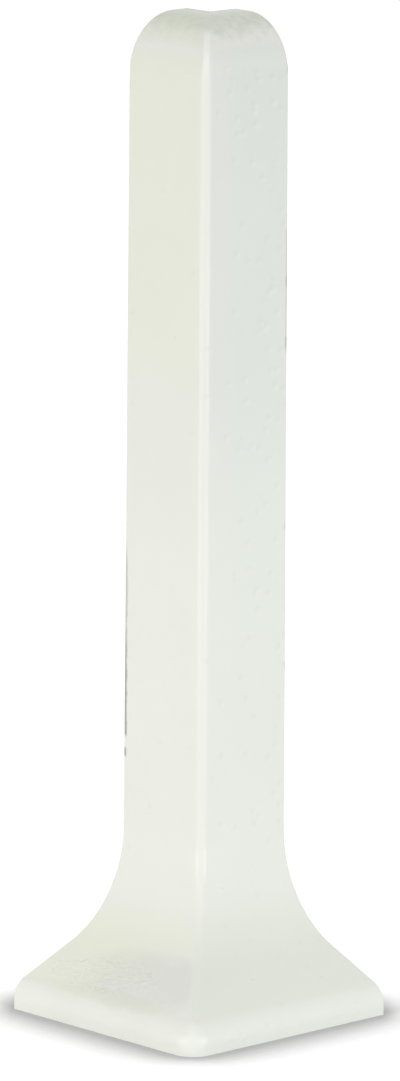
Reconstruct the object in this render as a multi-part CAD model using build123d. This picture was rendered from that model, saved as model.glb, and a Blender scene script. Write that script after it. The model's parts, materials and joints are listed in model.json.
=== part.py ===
from build123d import *
import math
import os

# Skirting corner cap: one hollow moulding that covers the joint of two coved
# skirting boards at an outside corner of a room.
#
# Frame: millimetres, +Z up, floor at z = 0. The wall's outside corner is the
# line x = 0, y = 0, and the wall fills x < 0, y > 0. One wing of the cap runs
# back along the wall's -Y face, the other along its +X face, and the two are
# mirror images about the mitre plane x + y = 0. The ridge faces +X and -Y.

# Heights, and depths measured out from the face of the wall
height = 100.0  # floor to the flat top
body_depth = 7.65  # wall to the upright face
foot_depth = 22.45  # wall to the face of the toe
toe_height = 2.55  # where the apron would meet the toe face with no rounding

# How far each wing runs back past the wall's corner
reach_at_floor = 4.15
reach_at_top = 3.7

# Thickness of the moulding
shell_wall = 1.2
mitre_web = 1.2

# The profile's curves and the slope of the apron between cove and toe
crest_radius = 5.75
cove_radius = 11.7
apron_slope = 23.3  # degrees below level

# Rounded edges
ridge_radius = 0.85
toe_corner_radius = 2.4
toe_radius = 2.3
wing_edge_radius = 0.3
web_root_radius = 0.5

# How far a cut runs past the faces that it goes through
overrun = 5.0
# How near a coordinate is to a plane when it counts as lying on it
touching = 0.001


def apron_normal():
    """Direction square to the apron, pointing down into the moulding, as (depth, z)."""
    slope = math.radians(apron_slope)
    return Vector(-math.sin(slope), -math.cos(slope))


def cove_centre():
    """Centre of the cove's arc, which is tangent to the upright face and to the apron."""
    depth = body_depth + cove_radius
    apron_start = depth + cove_radius * apron_normal().X
    apron_fall = (foot_depth - apron_start) * math.tan(math.radians(apron_slope))
    return Vector(depth, toe_height + apron_fall - cove_radius * apron_normal().Y)


def section(inset, back_at_floor, back_at_top, below):
    """Profile of the cap in (depth, z), moved inward by inset and closed behind the wall's face."""
    cove = cove_centre()
    arc_radius = cove_radius + inset
    arc_end = cove + apron_normal() * arc_radius
    arc_turn = math.radians(90 - apron_slope) / 2
    arc_middle = cove - Vector(math.cos(arc_turn), math.sin(arc_turn)) * arc_radius
    toe = foot_depth - inset
    toe_top = arc_end.Y - (toe - arc_end.X) * math.tan(math.radians(apron_slope))
    face = body_depth - inset
    top = height - inset
    crest = Vector(body_depth - crest_radius, height - crest_radius)
    crest_middle = crest + Vector(1, 1).normalized() * (crest_radius - inset)
    with BuildSketch() as profile:
        with BuildLine():
            Polyline((-back_at_top, top), (-back_at_floor, -below), (toe, -below), (toe, toe_top), arc_end)
            ThreePointArc(arc_end, arc_middle, (face, cove.Y))
            Line((face, cove.Y), (face, crest.Y))
            ThreePointArc((face, crest.Y), crest_middle, (crest.X, top))
            Line((crest.X, top), (-back_at_top, top))
        make_face()
    return profile.sketch


def mitred(profile):
    """Solid bounded by the profile on both the +X and the -Y side, meeting at the mitre plane."""
    facing_x = Plane.XZ
    facing_minus_y = Plane(origin=(0, 0, 0), x_dir=(0, -1, 0), z_dir=(-1, 0, 0))
    span = foot_depth + reach_at_floor + overrun
    along_y = extrude(facing_x * profile, span, both=True)
    along_x = extrude(facing_minus_y * profile, span, both=True)
    return along_y & along_x


def quarter(low_x, high_x, low_y, high_y):
    """Upright block between four planes, running past the cap's top and floor."""
    block = Box(high_x - low_x, high_y - low_y, height + 2 * overrun)
    return Pos((low_x + high_x) / 2, (low_y + high_y) / 2, height / 2) * block


def round_toe_corner(solid):
    """Rounds the upright corner where the two toe faces meet."""
    across_ridge = Axis((0, 0, 0), (1, -1, 0))
    corner = solid.edges().filter_by(Axis.Z).sort_by(across_ridge)[-1]
    return fillet(corner, toe_corner_radius)


def round_ridge(solid):
    """Rounds the mitre edge, from the apron up the cove and the upright face to the crest."""

    def on_mitre(edge):
        ends = (edge.position_at(0), edge.position_at(1))
        return edge.center().X > 0 and all(abs(end.X + end.Y) < touching for end in ends)

    return fillet(solid.edges().filter_by(on_mitre), ridge_radius)


def round_toe(solid):
    """Rounds the edge between the apron and the toe faces, round the corner."""

    def is_toe_face(face):
        box = face.bounding_box()
        return box.min.Z < touching < box.max.Z < cove_centre().Y

    top_edges = ShapeList()
    for face in solid.faces().filter_by(is_toe_face):
        top_edges += face.edges().filter_by(lambda edge: edge.bounding_box().min.Z > touching)
    return fillet(top_edges, toe_radius)


def round_wing_ends(solid):
    """Softens the outer edges of the two wing ends."""

    def on_end_face(edge):
        along_x = all(-end.X > reach_at_top - touching for end in (edge.position_at(0), edge.position_at(1)))
        along_y = all(end.Y > reach_at_top - touching for end in (edge.position_at(0), edge.position_at(1)))
        above_floor = edge.bounding_box().max.Z > touching
        return above_floor and along_x != along_y

    return fillet(solid.edges().filter_by(on_end_face), wing_edge_radius)


def web_plate():
    """Upright plate on the mitre plane, running past the hollow at both ends, at the top and below."""
    length = 2 * math.hypot(foot_depth, foot_depth)
    plate = Box(length, mitre_web, height + 2 * overrun)
    return Pos(0, 0, height / 2) * Rot(0, 0, -45) * plate


def round_web_roots(halves, open_back):
    """Rounds the edges of the two halves of the hollow, where the web grows out of the shell."""
    half_web = mitre_web * math.sqrt(0.5)

    def on_root(edge):
        middle = edge.center()
        ends = (edge.position_at(0), edge.position_at(1))
        off_open_back = middle.X > touching - open_back and middle.Y < open_back - touching
        off_bottom = middle.Z > touching - overrun
        on_plate = all(abs(abs(end.X + end.Y) - half_web) < touching for end in ends)
        return off_open_back and off_bottom and on_plate

    return fillet(halves.edges().filter_by(on_root), web_root_radius)


def corner_cap():
    outside = mitred(section(0, reach_at_floor, reach_at_top, 0))
    outside = round_toe_corner(outside)
    outside = round_ridge(outside)
    outside = round_toe(outside)
    outside = round_wing_ends(outside)
    open_back = reach_at_floor + overrun
    hollow = mitred(section(shell_wall, open_back, open_back, overrun))
    halves = round_web_roots(hollow - web_plate(), open_back)
    past_web = hollow - quarter(0, foot_depth, -foot_depth, 0)
    room_wall = quarter(-open_back, 0, 0, open_back)
    return outside - halves - past_web - room_wall


os.makedirs("parts", exist_ok=True)
export_step(corner_cap(), "parts/corner_cap.step")
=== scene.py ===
import json
import math

import bpy
from mathutils import Matrix, Vector

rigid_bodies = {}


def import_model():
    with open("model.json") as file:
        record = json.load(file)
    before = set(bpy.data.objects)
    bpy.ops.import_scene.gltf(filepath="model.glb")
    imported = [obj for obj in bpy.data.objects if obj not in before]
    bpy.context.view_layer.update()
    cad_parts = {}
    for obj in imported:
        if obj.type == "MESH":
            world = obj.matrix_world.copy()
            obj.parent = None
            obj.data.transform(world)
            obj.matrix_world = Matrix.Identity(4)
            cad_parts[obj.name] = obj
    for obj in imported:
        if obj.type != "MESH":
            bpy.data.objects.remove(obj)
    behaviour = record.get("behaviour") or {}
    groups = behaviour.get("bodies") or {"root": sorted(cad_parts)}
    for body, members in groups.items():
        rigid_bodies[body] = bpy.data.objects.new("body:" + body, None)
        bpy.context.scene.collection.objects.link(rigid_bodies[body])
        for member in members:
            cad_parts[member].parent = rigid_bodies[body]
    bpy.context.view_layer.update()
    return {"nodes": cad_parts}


for leftover in list(bpy.data.objects):
    bpy.data.objects.remove(leftover)

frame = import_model()
MM = 0.001


# Camera: the photograph's viewpoint, set out from the wall's corner at the floor
CAMERA_AZIMUTH = 47.073  # degrees
CAMERA_DISTANCE = 769.25 * MM
CAMERA_HEIGHT = 198.19 * MM
AIM_AZIMUTH = 47.123  # degrees
AIM_DOWN = 11.195
CAMERA_ROLL = 0.383
LENS = 257.16  # millimetres
SENSOR = 36  # millimetres, along the picture's long side
NEAREST_SEEN = 0.01  # metres
FURTHEST_SEEN = 20


def camera_axes():
    """Directions to the right, up and back of the camera."""
    aim = math.radians(AIM_AZIMUTH)
    down = math.radians(AIM_DOWN)
    roll = math.radians(CAMERA_ROLL)
    back = Vector((math.sin(aim) * math.cos(down), -math.cos(aim) * math.cos(down), math.sin(down)))
    level_right = Vector((math.cos(aim), math.sin(aim), 0))
    level_up = back.cross(level_right)
    right = level_right * math.cos(roll) + level_up * math.sin(roll)
    up = level_up * math.cos(roll) - level_right * math.sin(roll)
    return right, up, back


def add_camera():
    azimuth = math.radians(CAMERA_AZIMUTH)
    place = Vector((math.sin(azimuth), -math.cos(azimuth), 0)) * CAMERA_DISTANCE
    place.z = CAMERA_HEIGHT
    data = bpy.data.cameras.new("camera")
    data.lens = LENS
    data.sensor_width = SENSOR
    data.clip_start = NEAREST_SEEN
    data.clip_end = FURTHEST_SEEN
    camera = bpy.data.objects.new("camera", data)
    camera.matrix_world = Matrix.Translation(place) @ Matrix(camera_axes()).transposed().to_4x4()
    bpy.context.scene.collection.objects.link(camera)
    bpy.context.scene.camera = camera


# Node helpers. A source is a socket to link or a plain value.
def add_node(tree, kind, settings=None, inputs=None):
    node = tree.nodes.new(kind)
    for name, value in (settings or {}).items():
        setattr(node, name, value)
    for name, source in (inputs or {}).items():
        feed(tree, node.inputs[name], source)
    return node


def feed(tree, socket, source):
    if isinstance(source, bpy.types.NodeSocket):
        tree.links.new(source, socket)
    else:
        socket.default_value = source


def calculate(tree, operation, *sources):
    return add_node(tree, "ShaderNodeMath", {"operation": operation}, dict(enumerate(sources))).outputs[0]


def chain(tree, operation, sources):
    """Joins the first two sources, then the result and the next one, and so on."""
    result = sources[0]
    for source in sources[1:]:
        result = calculate(tree, operation, result, source)
    return result


def product(tree, *factors):
    return chain(tree, "MULTIPLY", factors)


def largest(tree, *sources):
    return chain(tree, "MAXIMUM", sources)


def vector(tree, operation, first, second):
    settings = {"operation": operation}
    return add_node(tree, "ShaderNodeVectorMath", settings, {0: first, 1: second}).outputs[0]


def step(tree, source, start, end):
    """Rises smoothly from 0 where source is start to 1 where it is end."""
    rising = start < end
    inputs = {"Value": source, "From Min": min(start, end), "From Max": max(start, end)}
    inputs.update({"To Min": 0.0 if rising else 1.0, "To Max": 1.0 if rising else 0.0})
    return add_node(tree, "ShaderNodeMapRange", {"interpolation_type": "SMOOTHSTEP"}, inputs).outputs[0]


def band(tree, source, start, full, fading, end):
    """1 where source is from full to fading, going smoothly to 0 at start and at end."""
    return product(tree, step(tree, source, start, full), step(tree, source, end, fading))


def between(tree, factor, first, second):
    """Number that goes from first to second as factor goes from 0 to 1."""
    inputs = {"Value": factor, "To Min": first, "To Max": second}
    return add_node(tree, "ShaderNodeMapRange", None, inputs).outputs[0]


# Sockets of a Mix node that mixes colours
MIX_FACTOR, MIX_FIRST, MIX_SECOND, MIX_RESULT = 0, 6, 7, 2


def mix_colours(tree, blend_type, factor, first, second):
    settings = {"data_type": "RGBA", "blend_type": blend_type}
    inputs = {MIX_FACTOR: factor, MIX_FIRST: first, MIX_SECOND: second}
    return add_node(tree, "ShaderNodeMix", settings, inputs).outputs[MIX_RESULT]


def blend(tree, factor, first, second):
    """Colour that goes from first to second as factor goes from 0 to 1."""
    return mix_colours(tree, "MIX", factor, first, second)


def tint(tree, colour, amount, shade):
    """Colour multiplied by a shade, as far as amount goes from 0 to 1."""
    return mix_colours(tree, "MULTIPLY", amount, colour, shade)


def noise(tree, place, lump, detail, shift):
    """Noise between 0 and 1 with lumps about lump millimetres across, moved by shift along each axis."""
    moved = vector(tree, "ADD", place, (shift, shift, shift))
    inputs = {"Vector": moved, "Scale": 1 / lump, "Detail": detail}
    return add_node(tree, "ShaderNodeTexNoise", None, inputs).outputs[0]


BORDER_DETAIL = 3.0
BORDER_SHIFT = 43.0


def patch(tree, place, centre, reach, ragged=0.6, lump=2.0):
    """1 near a point, 0 beyond its reach along x, y and z in millimetres, with a ragged soft border."""
    scaled = vector(tree, "DIVIDE", vector(tree, "SUBTRACT", place, centre), reach)
    distance = add_node(tree, "ShaderNodeVectorMath", {"operation": "LENGTH"}, {0: scaled}).outputs["Value"]
    border = noise(tree, place, lump, BORDER_DETAIL, BORDER_SHIFT)
    wavy = calculate(tree, "MULTIPLY_ADD", border, ragged, distance)
    return step(tree, wavy, 1.0 + ragged / 2, 0.5 + ragged / 2)


def lumps(tree, place, spacing, radius, share):
    """Round lumps, in a share of the cells that are spacing millimetres across."""
    inputs = {"Vector": place, "Scale": 1 / spacing}
    cells = add_node(tree, "ShaderNodeTexVoronoi", {"feature": "F1"}, inputs)
    pick = add_node(tree, "ShaderNodeSeparateColor", None, {0: cells.outputs["Color"]}).outputs[0]
    chosen = calculate(tree, "LESS_THAN", pick, share)
    return product(tree, chosen, step(tree, cells.outputs["Distance"], radius / spacing, 0.0))


def bump(tree, height, rise, strength, below=None):
    """Surface normal over a height map that rises by rise millimetres."""
    inputs = {"Height": height, "Distance": rise * MM, "Strength": strength}
    if below:
        inputs["Normal"] = below
    return add_node(tree, "ShaderNodeBump", None, inputs).outputs[0]


def new_material(name):
    material = bpy.data.materials.new(name)
    material.use_nodes = True
    material.node_tree.nodes.clear()
    return material


# Finish of the cap: sprayed off-white satin paint, a little aged, with paler colours for painted highlights
# and a dark one for wear and painted shade on the edges
PAINT = (0.882, 0.895, 0.832, 1)
# Paler paint for painted highlights on small lumps, on grit and on the toe's corner
PALER = (0.935, 0.948, 0.890, 1)
# Painted highlight where the ridge runs into the crest
RIDGE_HIGHLIGHT = (0.980, 0.992, 0.935, 1)
# Dark for chips, nicks and a dark line on the edges, and for painted shade along the left edge
EDGE_WEAR_AND_SHADE = (0.420, 0.420, 0.380, 1)

# Shades that multiply the paint's colour
DULL = (0.985, 0.989, 0.988, 1)
COOL_SHADE = (0.962, 0.988, 0.988, 1)
GREY_SHADE = (0.968, 0.973, 0.975, 1)
# Painted light: paler low down, on the right side of the crest and at the left end of the toe
PAINTED_LIGHT_TINT = (1.026, 1.024, 1.022, 1)
YELLOW_SHADE = (0.985, 0.988, 0.940, 1)
YELLOW_FOOT = (1.010, 1.013, 0.945, 1)
# Yellower, and darker with painted shade in the crease above the left toe
YELLOW_TOE_AND_SHADE = (0.968, 0.970, 0.925, 1)
FOOT_GREY = (0.930, 0.930, 0.935, 1)
# Painted shade that darkens the top of the crest
CREST_TOP_SHADE = (0.860, 0.880, 0.833, 1)
# Darker for the crest's mottle and for the painted shade of small lumps
MOTTLE_AND_DOT_SHADE = (0.800, 0.815, 0.790, 1)

# From here to the stage, lengths are in millimetres. A pair without a note is where a change starts and
# where it is complete. Four heights are where a band starts, is full, fades and ends. A noise is given by
# its lumps' width, detail and shift, a patch by centre, reach, how ragged it is and its border's lumps.

# Wings, by x + y, which is 0 on the mitre
LEFT_WING = (-0.2, -1.0)
RIGHT_WING = (0.2, 1.2)


class SurfacePoint:
    """A point as a vector, its coordinates, x + y, and 0 to 1 for the left and for the right wing."""

    def __init__(self, tree):
        inputs = {0: add_node(tree, "ShaderNodeTexCoord").outputs["Object"], "Scale": 1 / MM}
        self.place = add_node(tree, "ShaderNodeVectorMath", {"operation": "SCALE"}, inputs).outputs[0]
        self.x, self.y, self.z = add_node(tree, "ShaderNodeSeparateXYZ", None, {0: self.place}).outputs
        self.side = calculate(tree, "ADD", self.x, self.y)
        self.left = step(tree, self.side, *LEFT_WING)
        self.right = step(tree, self.side, *RIGHT_WING)


# Soft areas of the wings
CLOUDS = (11.0, 3.0, 0.0)
CLOUDY = (0.35, 0.65)
COOL_HEIGHT = (24.0, 46.0)
COOL_LOW = 0.05  # how strong the cool shade is below that height
COOL_HIGH = (0.2, 0.9)  # by the ridge and away from it
AWAY_FROM_RIDGE = (-5.4, -2.6)  # of y, on the right wing
BELOW_CREST = (97.8, 96.8)
# Painted light: paler low down, on the right side of the crest and at the left end of the toe
PALE_UP_TO = (64.0, 42.0)
PALE_FROM = (7.0, 11.0)
PALE_CREST = (94.5, 96.2)
PALE_CREST_STRENGTH = 1.7  # over 1, so that it is complete sooner
PALE_TOE = ((-3.5, -22.4, 1.5), (7.5, 1.6, 2.2), 0.3)
GREY_HEIGHT = (54.0, 74.0)


def wing_tones(tree, at, ragged_z):
    """Paint with dull clouds, with painted light that makes it paler low down, on the right side of the
    crest and at the left end of the toe, and cooler and greyer on the right wing.
    """
    colour = tint(tree, PAINT, step(tree, noise(tree, at.place, *CLOUDS), *CLOUDY), DULL)

    below_crest = step(tree, at.z, *BELOW_CREST)
    cool_high = between(tree, step(tree, at.y, *AWAY_FROM_RIDGE), *COOL_HIGH)
    cool = between(tree, step(tree, ragged_z, *COOL_HEIGHT), COOL_LOW, cool_high)
    colour = tint(tree, colour, product(tree, at.right, cool, below_crest), COOL_SHADE)

    painted_light_low = product(tree, step(tree, ragged_z, *PALE_UP_TO), step(tree, at.z, *PALE_FROM))
    painted_light_crest = product(tree, at.right, step(tree, at.z, *PALE_CREST), PALE_CREST_STRENGTH)
    painted_light = largest(tree, painted_light_low, painted_light_crest, patch(tree, at.place, *PALE_TOE))
    colour = tint(tree, colour, painted_light, PAINTED_LIGHT_TINT)

    grey = product(tree, at.right, step(tree, ragged_z, *GREY_HEIGHT), below_crest)
    return tint(tree, colour, grey, GREY_SHADE)


# Yellower areas, and painted shade in the crease above the left toe
YELLOW_HEIGHT = (64.0, 74.0)
BELOW_PALE_BAND = (97.0, 96.1)
ABOVE_PALE_BAND = (97.2, 98.0)
FOOT = (2.4, 3.4, 8.0, 11.0)
RIGHT_FOOT_STRENGTH = 0.5
ABOVE_TOE = (2.4, 3.4)
APRON = ((-1.2, -16.3, 6.0), (11.0, 9.0, 6.3))
BY_RIDGE = ((4.8, -11.9, 7.5), (8.5, 4.6, 2.9))
BY_RIDGE_STRENGTH = 0.75
# Yellower and darker with painted shade where the left apron meets the toe
TOE_EDGE = ((8.5, -20.7, 3.25), (11.5, 1.6, 1.2))
GREY_APRON = ((11.0, -17.5, 4.8), (11.5, 6.5, 3.6), 0.9, 4.0)


def yellow_areas(tree, at, ragged_z, colour):
    """Yellower paint high on the left wing and on the foot, yellower and darker with painted shade above the
    left toe, and a grey patch on the left apron.
    """
    off_pale_band = largest(tree, step(tree, at.z, *BELOW_PALE_BAND), step(tree, at.z, *ABOVE_PALE_BAND))
    top = product(tree, at.left, step(tree, ragged_z, *YELLOW_HEIGHT), off_pale_band)
    right_foot = product(tree, at.right, band(tree, at.z, *FOOT), RIGHT_FOOT_STRENGTH)
    colour = tint(tree, colour, largest(tree, top, right_foot), YELLOW_SHADE)

    by_ridge = product(tree, patch(tree, at.place, *BY_RIDGE), BY_RIDGE_STRENGTH)
    left_foot = largest(tree, patch(tree, at.place, *APRON), by_ridge)
    left_foot = product(tree, at.left, left_foot, step(tree, at.z, *ABOVE_TOE))
    colour = tint(tree, colour, left_foot, YELLOW_FOOT)

    colour = tint(tree, colour, product(tree, at.left, patch(tree, at.place, *TOE_EDGE)), YELLOW_TOE_AND_SHADE)
    return tint(tree, colour, product(tree, at.left, patch(tree, at.place, *GREY_APRON)), FOOT_GREY)


# Crest: painted shade that darkens its top, and a darker mottle
SHADED_TOP = (98.2, 99.9)
MOTTLED = (97.3, 98.8)
MOTTLE = (1.0, 2.0, 11.0)
MOTTLE_LEVEL = (0.35, 0.68)
MOTTLE_STRENGTH = (0.27, 0.48)  # on the left and on the right wing


def crest_shade_and_mottle(tree, at, colour):
    # Painted shade over the top of the crest
    colour = tint(tree, colour, step(tree, at.z, *SHADED_TOP), CREST_TOP_SHADE)
    mottle = step(tree, noise(tree, at.place, *MOTTLE), *MOTTLE_LEVEL)
    strength = between(tree, at.right, *MOTTLE_STRENGTH)
    return tint(tree, colour, product(tree, step(tree, at.z, *MOTTLED), mottle, strength), MOTTLE_AND_DOT_SHADE)


# Dots by their spacing and radius, and the share of cells that hold one. They paint the shade and the
# highlight of small lumps in the paint.
DARK_DOTS = (1.5, 0.6)
DARK_DOT_STRENGTH = 0.18
PALE_DOTS = (1.5, 0.5)
PALE_DOT_STRENGTH = 0.30
BESIDE = (0.0, -0.35, 0.35)  # from a dark dot to its pale one
DOTTED_SIDE = (1.0, 5.0)  # of x + y
DOTTED_HEIGHT = (30.0, 75.0)
SHARE_LEFT = 0.03
SHARE_RIGHT = (0.22, 0.50)  # low down and high up
# Pale grains: painted highlights over the grit
GRAINS = (0.5, 1.0, 19.0)
GRAINS_LEVEL = (0.55, 0.75)
GRAIN_STRENGTH = 0.4
GRITTY_APRON = ((5.0, -18.2, 4.5), (10.5, 4.2, 3.0), 0.9, 1.5)


def painted_dot_and_grain_light(tree, at, colour):
    """Painted shade and highlight of small lumps, as faint dark dots with pale ones beside them, and painted
    highlights as pale grains over the grit on the left apron.
    """
    share_right = between(tree, step(tree, at.z, *DOTTED_HEIGHT), *SHARE_RIGHT)
    share = between(tree, step(tree, at.side, *DOTTED_SIDE), SHARE_LEFT, share_right)
    dark = product(tree, lumps(tree, at.place, *DARK_DOTS, share), DARK_DOT_STRENGTH)
    colour = tint(tree, colour, dark, MOTTLE_AND_DOT_SHADE)
    beside = vector(tree, "ADD", at.place, BESIDE)
    painted_light = product(tree, lumps(tree, beside, *PALE_DOTS, share), PALE_DOT_STRENGTH)
    colour = blend(tree, painted_light, colour, PALER)
    grains = step(tree, noise(tree, at.place, *GRAINS), *GRAINS_LEVEL)
    grains = product(tree, grains, patch(tree, at.place, *GRITTY_APRON), GRAIN_STRENGTH)
    return blend(tree, grains, colour, PALER)


# Painted highlights on the ridge and on the corner of the toe
ON_RIDGE = (0.70, 0.20)  # of x + y, to either side
RIDGE_HEIGHT = (93.5, 96.5, 98.4, 99.3)
TOE_CORNER = ((21.8, -21.8, 1.2), (1.8, 1.8, 1.2), 0.3)
TOE_CORNER_STRENGTH = 0.6


def ridge_and_corner_highlights(tree, at, colour):
    """Painted highlights where the ridge runs into the crest and on the corner of the toe."""
    on_ridge = step(tree, calculate(tree, "ABSOLUTE", at.side), *ON_RIDGE)
    colour = blend(tree, product(tree, on_ridge, band(tree, at.z, *RIDGE_HEIGHT)), colour, RIDGE_HIGHLIGHT)
    corner = product(tree, patch(tree, at.place, *TOE_CORNER), TOE_CORNER_STRENGTH)
    return blend(tree, corner, colour, PALER)


# Chips and nicks along the outer edges of the wings, a dark line on the right edge and painted shade along
# the left edge. Pairs called edge are distances from the edge.
WING_REACH = 4.15  # how far a wing runs back at the floor
WING_TAPER = 0.0045  # how much less that is for each millimetre up
CHIPPED_EDGE = (0.35, 0.15)
CHIPS = (1.6, 3.0, 71.0)
CHIPS_LEVEL = (0.60, 0.72)
CHIP_STRENGTH = 0.6
# Painted shade along the left wing's edge, with a spot of it lower down
SHADED_EDGE = (0.80, 0.55)
EDGE_SHADE_BORDER = (1.2, 3.0, 29.0)
EDGE_SHADE_RAGGED_BY = 0.4
EDGE_SHADE_HEIGHT = (25.9, 26.5, 43.5, 47.0)
EDGE_SHADE_DEEPENS = (40.0, 32.0)
EDGE_SHADE_STRENGTH = (0.55, 1.0)  # at its upper and at its lower end
EDGE_SHADE_SPOT = ((-4.0, -7.65, 24.5), (1.0, 1.0, 0.65), 0.3, 0.8)
LEFT_FRONT = (-6.9, -7.3)  # of y
NICKED_EDGE = (0.45, 0.20)
NICK_CENTRES = ((7.65, 3.9, 73.2), (7.65, 3.9, 67.0))
NICK = ((1.0, 1.0, 0.9), 0.3, 0.8)
# A dark line along the right wing's edge, around the nicks
DARK_LINE_HEIGHT = (65.6, 66.4, 78.1, 78.9)
DARK_LINE_STRENGTH = 0.45
RIGHT_FRONT = (6.9, 7.3)  # of x


def chips(tree, at, from_left, from_right):
    near_edge = largest(tree, step(tree, from_left, *CHIPPED_EDGE), step(tree, from_right, *CHIPPED_EDGE))
    return product(tree, near_edge, step(tree, noise(tree, at.place, *CHIPS), *CHIPS_LEVEL), CHIP_STRENGTH)


def left_edge_shade(tree, at, from_left):
    # Painted shade along the left wing's edge and a spot of it lower down
    border = noise(tree, at.place, *EDGE_SHADE_BORDER)
    ragged = calculate(tree, "MULTIPLY_ADD", border, EDGE_SHADE_RAGGED_BY, from_left)
    on_edge = product(tree, step(tree, ragged, *SHADED_EDGE), step(tree, at.y, *LEFT_FRONT))
    strength = between(tree, step(tree, at.z, *EDGE_SHADE_DEEPENS), *EDGE_SHADE_STRENGTH)
    edge_shade = product(tree, band(tree, at.z, *EDGE_SHADE_HEIGHT), strength)
    return product(tree, on_edge, largest(tree, edge_shade, patch(tree, at.place, *EDGE_SHADE_SPOT)))


def nicks_and_dark_line(tree, at, from_right):
    nicks = largest(tree, *[patch(tree, at.place, centre, *NICK) for centre in NICK_CENTRES])
    at_front = step(tree, at.x, *RIGHT_FRONT)
    dark_line = product(tree, band(tree, at.z, *DARK_LINE_HEIGHT), at_front, DARK_LINE_STRENGTH)
    return product(tree, step(tree, from_right, *NICKED_EDGE), largest(tree, nicks, dark_line))


def worn_and_shaded_edges(tree, at, colour):
    reach = calculate(tree, "MULTIPLY_ADD", at.z, -WING_TAPER, WING_REACH)
    from_left = calculate(tree, "ADD", reach, at.x)
    from_right = calculate(tree, "SUBTRACT", reach, at.y)
    left_marks = left_edge_shade(tree, at, from_left)
    right_marks = nicks_and_dark_line(tree, at, from_right)
    marks = largest(tree, chips(tree, at, from_left, from_right), left_marks, right_marks)
    # Darker for chips, nicks and the right edge's dark line, with painted shade along the left edge
    return blend(tree, marks, colour, EDGE_WEAR_AND_SHADE)


# Borders of the soft areas wander up and down
RAGGED_HEIGHT = (9.0, 2.0, 57.0)
RAGGED_BY = 10.0


def paint_colour(tree, at):
    wander = product(tree, noise(tree, at.place, *RAGGED_HEIGHT), RAGGED_BY)
    ragged_z = calculate(tree, "ADD", at.z, wander)
    colour = wing_tones(tree, at, ragged_z)
    colour = yellow_areas(tree, at, ragged_z, colour)
    colour = crest_shade_and_mottle(tree, at, colour)
    colour = painted_dot_and_grain_light(tree, at, colour)
    colour = ridge_and_corner_highlights(tree, at, colour)
    return worn_and_shaded_edges(tree, at, colour)


# Relief: a noise or lumps, with their rise and strength
PEEL = (1.4, 2.0, 3.0)
PEEL_RELIEF = (0.2, 0.12)
FINE_GRAIN = (0.3, 3.0, 7.0)
FINE_GRAIN_RELIEF = (0.03, 0.10)
LUMPS = (1.7, 0.32)
LUMP_RELIEF = (0.08, 0.8)
LUMPY_SIDE = (0.2, 4.0)  # of x + y
LUMPY_SHARE = (0.04, 0.22)  # on the left and on the right wing
GRIT = (0.55, 2.0, 19.0)
GRIT_RISE = 0.2
GRIT_INSIDE = 0.6


def paint_normal(tree, at, inside):
    """Orange peel, fine grain and a few lumps, with grit under the paint and a rough casting inside."""
    normal = bump(tree, noise(tree, at.place, *PEEL), *PEEL_RELIEF)
    normal = bump(tree, noise(tree, at.place, *FINE_GRAIN), *FINE_GRAIN_RELIEF, normal)
    share = between(tree, step(tree, at.side, *LUMPY_SIDE), *LUMPY_SHARE)
    normal = bump(tree, lumps(tree, at.place, *LUMPS, share), *LUMP_RELIEF, normal)
    gritty = largest(tree, patch(tree, at.place, *GRITTY_APRON), product(tree, inside, GRIT_INSIDE))
    return bump(tree, noise(tree, at.place, *GRIT), GRIT_RISE, gritty, normal)


# Gloss, and how far a face has to look back or down to count as inside
GLOSS = (5.0, 3.0, 23.0)
ROUGHNESS = (0.29, 0.39)  # least and most
ROUGHER_INSIDE = 0.25
REFRACTION = 1.5
INWARD = (0.2, 0.7)


def inside_faces(tree):
    """1 on faces that look back or down, 0 on the ones at the front."""
    normal = add_node(tree, "ShaderNodeTexCoord").outputs["Normal"]
    x, y, z = add_node(tree, "ShaderNodeSeparateXYZ", None, {0: normal}).outputs
    return step(tree, largest(tree, y, product(tree, x, -1.0), product(tree, z, -1.0)), *INWARD)


def paint_material():
    material = new_material("white_paint")
    tree = material.node_tree
    at = SurfacePoint(tree)
    inside = inside_faces(tree)
    rough = between(tree, noise(tree, at.place, *GLOSS), *ROUGHNESS)
    inputs = {"Base Color": paint_colour(tree, at), "Normal": paint_normal(tree, at, inside)}
    inputs["Roughness"] = calculate(tree, "MULTIPLY_ADD", inside, ROUGHER_INSIDE, rough)
    inputs["IOR"] = REFRACTION
    shader = add_node(tree, "ShaderNodeBsdfPrincipled", None, inputs)
    add_node(tree, "ShaderNodeOutputMaterial", None, {"Surface": shader.outputs[0]})
    return material


# Stage: lengths are in metres from here on
FLOOR_SIZE = 6.0
FLOOR_COLOUR = (0.8, 0.8, 0.8, 1)
FLOOR_SEEN = (0.6, 0.6, 0.6, 1)
FLOOR_GLOW = 0.68  # for rays that see the floor directly, and less where the cap stands close
SHADE_REACH = 8 * MM
SHADE_DEPTH = 9.5  # how quickly the glow goes as the cap closes the floor in
SHADE_SAMPLES = 16


def seen_directly(tree):
    """1 for camera, glossy and transmission rays, 0 for the light that falls on the cap."""
    path = add_node(tree, "ShaderNodeLightPath").outputs
    return largest(tree, path["Is Camera Ray"], path["Is Glossy Ray"], path["Is Transmission Ray"])


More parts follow.
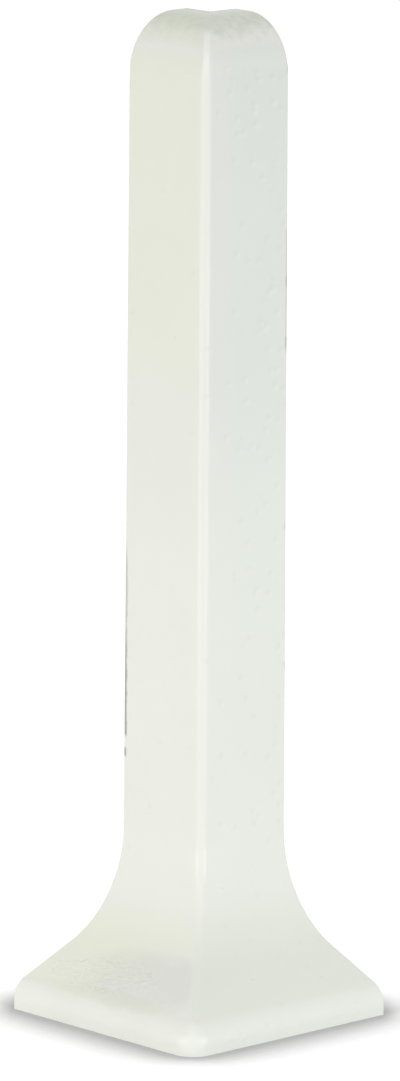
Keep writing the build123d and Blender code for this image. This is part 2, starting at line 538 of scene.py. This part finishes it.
def floor_material():
    material = new_material("floor")
    tree = material.node_tree
    seen = seen_directly(tree)
    colour = blend(tree, seen, FLOOR_COLOUR, FLOOR_SEEN)
    matte = add_node(tree, "ShaderNodeBsdfDiffuse", None, {"Color": colour})
    inputs = {"Distance": SHADE_REACH}
    openness = add_node(tree, "ShaderNodeAmbientOcclusion", {"samples": SHADE_SAMPLES}, inputs).outputs["AO"]
    strength = product(tree, calculate(tree, "POWER", openness, SHADE_DEPTH), FLOOR_GLOW, seen)
    glow = add_node(tree, "ShaderNodeEmission", None, {"Strength": strength})
    both = add_node(tree, "ShaderNodeAddShader", None, {0: matte.outputs[0], 1: glow.outputs[0]})
    add_node(tree, "ShaderNodeOutputMaterial", None, {"Surface": both.outputs[0]})
    return material


def add_floor():
    half = FLOOR_SIZE / 2
    mesh = bpy.data.meshes.new("floor")
    corners = [(-half, -half, 0), (half, -half, 0), (half, half, 0), (-half, half, 0)]
    mesh.from_pydata(corners, [], [(0, 1, 2, 3)])
    floor = bpy.data.objects.new("floor", mesh)
    mesh.materials.append(floor_material())
    bpy.context.scene.collection.objects.link(floor)


# Light: two soft lamps out in front, two small ones low beside the foot and a weak one facing the ridge.
# Name, azimuth in degrees, distance from the cap, height, diameter, watts, colour.
AIM_POINT = Vector((8 * MM, -8 * MM, 0))
WARM = (1.0, 0.995, 0.975)
COOL = (0.97, 1.0, 1.015)
WHITE = (1.0, 1.0, 1.0)
LAMPS = (
    ("front_left", 7, 0.80, 0.100, 0.50, 0.940, WARM),
    ("front_right", 87, 0.80, 0.100, 0.50, 0.322, COOL),
    ("foot_left", -10, 0.16, 0.015, 0.10, 0.061, WARM),
    ("foot_right", 100, 0.16, 0.015, 0.10, 0.075, COOL),
    ("ridge", 47, 0.40, 0.430, 0.15, 0.110, WHITE),
)
LAMPS_LOOK_AT = 0.03  # height on the cap
SKY_COLOUR = (1.0, 1.0, 1.0, 1)
SKY_LIGHT = 0.65
SKY_SEEN = 1.0


def add_lamps():
    for name, azimuth, distance, height, size, power, colour in LAMPS:
        angle = math.radians(azimuth)
        away = Vector((math.sin(angle), -math.cos(angle), 0))
        data = bpy.data.lights.new(name, "AREA")
        data.shape = "DISK"
        data.size = size
        data.energy = power
        data.color = colour
        lamp = bpy.data.objects.new(name, data)
        lamp.location = AIM_POINT + away * distance + Vector((0, 0, height))
        look = AIM_POINT + Vector((0, 0, LAMPS_LOOK_AT)) - lamp.location
        lamp.rotation_mode = "QUATERNION"
        lamp.rotation_quaternion = look.to_track_quat("-Z", "Y")
        lamp.visible_camera = False
        bpy.context.scene.collection.objects.link(lamp)


def set_sky():
    world = bpy.data.worlds.new("sky")
    bpy.context.scene.world = world
    world.use_nodes = True
    tree = world.node_tree
    tree.nodes.clear()
    light = add_node(tree, "ShaderNodeBackground", None, {"Color": SKY_COLOUR, "Strength": SKY_LIGHT})
    white = add_node(tree, "ShaderNodeBackground", None, {"Color": SKY_COLOUR, "Strength": SKY_SEEN})
    inputs = {0: seen_directly(tree), 1: light.outputs[0], 2: white.outputs[0]}
    mix = add_node(tree, "ShaderNodeMixShader", None, inputs)
    add_node(tree, "ShaderNodeOutputWorld", None, {"Surface": mix.outputs[0]})


add_camera()
add_floor()
add_lamps()
set_sky()

cap = frame["nodes"]["corner_cap"]
cap.material_slots[0].material = paint_material()

bpy.context.scene.view_settings.view_transform = "Standard"
